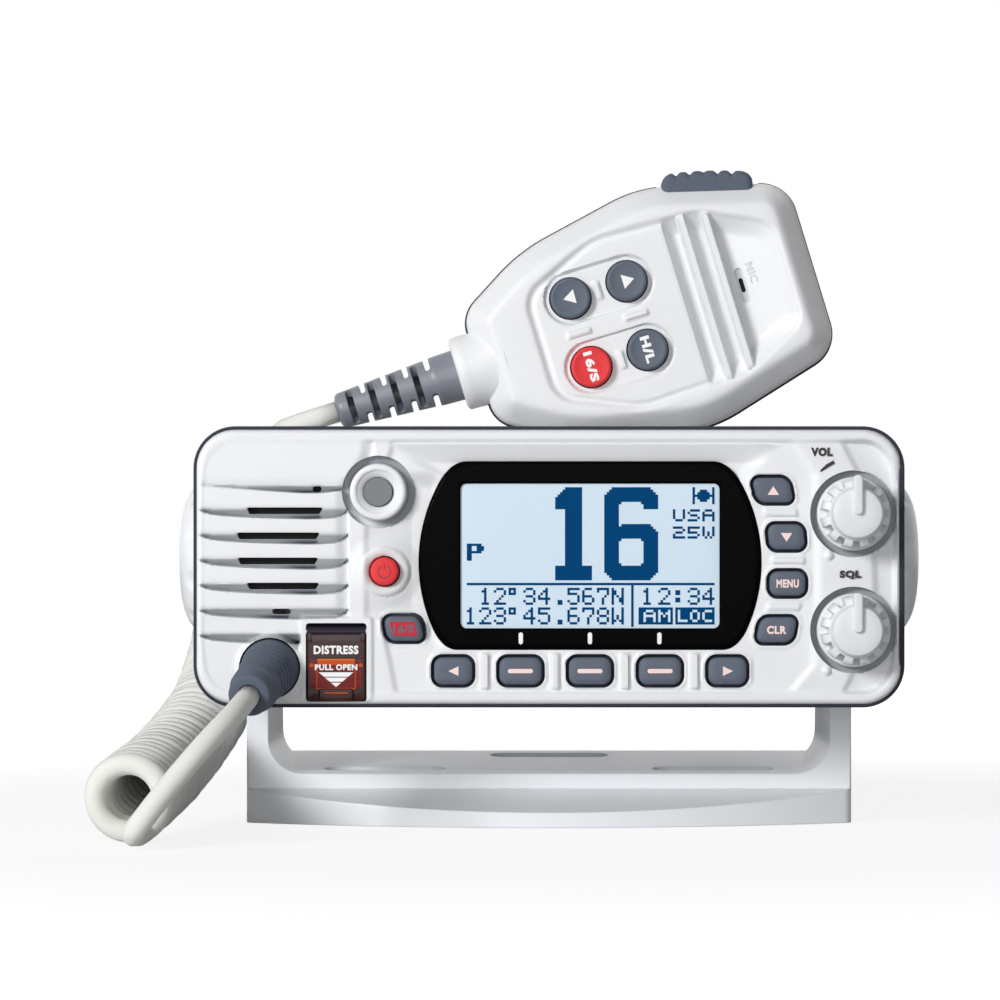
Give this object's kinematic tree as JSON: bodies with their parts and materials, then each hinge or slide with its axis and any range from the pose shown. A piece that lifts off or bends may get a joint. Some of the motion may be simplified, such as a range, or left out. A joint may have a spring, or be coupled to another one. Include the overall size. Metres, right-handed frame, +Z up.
{
  "type": "vhf marine radio",
  "caption": "Fixed-mount VHF marine radio with a lit display, keys and two knobs, on a tilting U-bracket, with a curly cord and a fist microphone standing on its case.",
  "frame": {"origin": "on the bracket's underside, straight below the tilt axis, midway between the legs", "axes": "+X to the right as the user faces the radio, the face looks along -Y, +Z up"},
  "size_m": [0.1848, 0.1782, 0.1482],
  "materials": {
    "white_plastic": "fine-grained white moulding",
    "bracket_plastic": "smooth cool-white moulding",
    "dark_seal": "dark navy sealing rubber",
    "black_lens": "black printed hard-coated lens",
    "display": "lit dot-matrix display",
    "slate_key": "slate-grey soft-touch keys",
    "red_key": "red key",
    "sensor_grey": "smoked sensor window",
    "distress_red": "see-through dark red lid",
    "boot_rubber": "slate rubber strain relief",
    "cord_jacket": "off-white cord jacket",
    "cast_heatsink": "die-cast, light grey",
    "plated_metal": "nickel plating",
    "steel": "stainless screws",
    "circuit_board": "green solder mask",
    "silicone": "black silicone",
    "speaker_black": "black basket and cloth",
    "washer_rubber": "black washer",
    "control_white": "light grey-white knobs"
  },
  "bodies": {
    "radio": {"front_panel": "white_plastic", "panel_gasket": "dark_seal", "display_lens": "black_lens", "display_module": "display", "front_board": "circuit_board", "key_mat": "silicone", "sensor_window": "sensor_grey", "rotary_encoders": "steel", "speaker": "speaker_black", "speaker_mesh": "speaker_black", "distress_hinge_pin": "steel", "distress_switch": "silicone", "front_cord_boot": "boot_rubber", "case_body": "white_plastic", "heatsink": "cast_heatsink", "antenna_socket": "plated_metal", "power_gland": "silicone", "accessory_gland": "silicone", "main_board": "circuit_board", "rf_module": "steel", "case_screws": "steel", "left_washer": "washer_rubber", "right_washer": "washer_rubber", "cord_lead": "cord_jacket", "cord_coil": "cord_jacket", "cord_tail": "cord_jacket"},
    "mounting_bracket": {"bracket": "bracket_plastic"},
    "left_knob": {"left_clamp_knob": "bracket_plastic"},
    "right_knob": {"right_clamp_knob": "bracket_plastic"},
    "volume_control": {"volume_knob": "control_white", "volume_shaft": "steel"},
    "squelch_control": {"squelch_knob": "control_white", "squelch_shaft": "steel"},
    "distress_lid": {"distress_cover": "distress_red"},
    "distress_push": {"distress_button": "red_key"},
    "microphone": {"mic_front_shell": "white_plastic", "mic_gasket": "dark_seal", "mic_back_shell": "white_plastic", "mic_screws": "steel", "mic_hanger_stud": "plated_metal", "mic_board": "circuit_board", "mic_capsule": "plated_metal", "mic_cord_boot": "boot_rubber"},
    "talk_key": {"push_to_talk_key": "boot_rubber"},
    "left_key_body": {"left_key": "slate_key"},
    "soft_key_1_body": {"soft_key_1": "slate_key"},
    "soft_key_2_body": {"soft_key_2": "slate_key"},
    "soft_key_3_body": {"soft_key_3": "slate_key"},
    "right_key_body": {"right_key": "slate_key"},
    "up_key_body": {"up_key": "slate_key"},
    "down_key_body": {"down_key": "slate_key"},
    "menu_key_body": {"menu_key": "slate_key"},
    "clear_key_body": {"clear_key": "slate_key"},
    "channel_16_key_body": {"channel_16_key": "slate_key"},
    "power_key_body": {"power_key": "red_key"},
    "mic_down_key_body": {"mic_down_key": "slate_key"},
    "mic_up_key_body": {"mic_up_key": "slate_key"},
    "mic_16_key_body": {"mic_16_key": "red_key"},
    "mic_power_level_key_body": {"mic_power_level_key": "slate_key"}
  },
  "joints": [
    {"name": "bracket_tilt", "type": "hinge", "parent": "radio", "child": "mounting_bracket", "pos_m": [0, 0, 0.0606], "axis": [1, 0, 0], "range_deg": [-25, 25]},
    {"name": "left_knob_turn", "type": "hinge", "parent": "radio", "child": "left_knob", "pos_m": [-0.0693, 0, 0.0606], "axis": [1, 0, 0], "continuous": true},
    {"name": "right_knob_turn", "type": "hinge", "parent": "radio", "child": "right_knob", "pos_m": [0.0693, 0, 0.0606], "axis": [1, 0, 0], "continuous": true},
    {"name": "volume_turn", "type": "hinge", "parent": "radio", "child": "volume_control", "pos_m": [0.0667, -0.058, 0.0702], "axis": [0, -1, 0], "range_deg": [-150, 150]},
    {"name": "squelch_turn", "type": "hinge", "parent": "radio", "child": "squelch_control", "pos_m": [0.0667, -0.058, 0.04475], "axis": [0, -1, 0], "range_deg": [-150, 150]},
    {"name": "left_key_press", "type": "slide", "parent": "radio", "child": "left_key_body", "axis": [0, 1, 0], "range_m": [0, 0.0008], "stiffness_N_per_m": 1500},
    {"name": "soft_key_1_press", "type": "slide", "parent": "radio", "child": "soft_key_1_body", "axis": [0, 1, 0], "range_m": [0, 0.0008], "stiffness_N_per_m": 1500},
    {"name": "soft_key_2_press", "type": "slide", "parent": "radio", "child": "soft_key_2_body", "axis": [0, 1, 0], "range_m": [0, 0.0008], "stiffness_N_per_m": 1500},
    {"name": "soft_key_3_press", "type": "slide", "parent": "radio", "child": "soft_key_3_body", "axis": [0, 1, 0], "range_m": [0, 0.0008], "stiffness_N_per_m": 1500},
    {"name": "right_key_press", "type": "slide", "parent": "radio", "child": "right_key_body", "axis": [0, 1, 0], "range_m": [0, 0.0008], "stiffness_N_per_m": 1500},
    {"name": "up_key_press", "type": "slide", "parent": "radio", "child": "up_key_body", "axis": [0, 1, 0], "range_m": [0, 0.0008], "stiffness_N_per_m": 1500},
    {"name": "down_key_press", "type": "slide", "parent": "radio", "child": "down_key_body", "axis": [0, 1, 0], "range_m": [0, 0.0008], "stiffness_N_per_m": 1500},
    {"name": "menu_key_press", "type": "slide", "parent": "radio", "child": "menu_key_body", "axis": [0, 1, 0], "range_m": [0, 0.0008], "stiffness_N_per_m": 1500},
    {"name": "clear_key_press", "type": "slide", "parent": "radio", "child": "clear_key_body", "axis": [0, 1, 0], "range_m": [0, 0.0008], "stiffness_N_per_m": 1500},
    {"name": "channel_16_key_press", "type": "slide", "parent": "radio", "child": "channel_16_key_body", "axis": [0, 1, 0], "range_m": [0, 0.0008], "stiffness_N_per_m": 1500},
    {"name": "power_key_press", "type": "slide", "parent": "radio", "child": "power_key_body", "axis": [0, 1, 0], "range_m": [0, 0.0008], "stiffness_N_per_m": 1500},
    {"name": "distress_lid_open", "type": "hinge", "parent": "radio", "child": "distress_lid", "pos_m": [-0.04655, -0.0574, 0.0444], "axis": [-1, 0, 0], "range_deg": [0, 100], "stiffness_Nm_per_rad": 0.002},
    {"name": "distress_press", "type": "slide", "parent": "radio", "child": "distress_push", "axis": [0, 1, 0], "range_m": [0, 0.0012], "stiffness_N_per_m": 1500},
    {"name": "microphone_lift", "type": "slide", "parent": "radio", "child": "microphone", "axis": [0, 0, 1], "range_m": [0, 0.05]},
    {"name": "mic_down_key_press", "type": "slide", "parent": "microphone", "child": "mic_down_key_body", "axis": [0, 1, 0], "range_m": [0, 0.0008], "stiffness_N_per_m": 1500},
    {"name": "mic_up_key_press", "type": "slide", "parent": "microphone", "child": "mic_up_key_body", "axis": [0, 1, 0], "range_m": [0, 0.0008], "stiffness_N_per_m": 1500},
    {"name": "mic_16_key_press", "type": "slide", "parent": "microphone", "child": "mic_16_key_body", "axis": [0, 1, 0], "range_m": [0, 0.0008], "stiffness_N_per_m": 1500},
    {"name": "mic_power_level_key_press", "type": "slide", "parent": "microphone", "child": "mic_power_level_key_body", "axis": [0, 1, 0], "range_m": [0, 0.0008], "stiffness_N_per_m": 1500},
    {"name": "talk_press", "type": "slide", "parent": "microphone", "child": "talk_key", "axis": [0.0314, 0, -0.9995], "range_m": [0, 0.0015], "stiffness_N_per_m": 800}
  ]
}
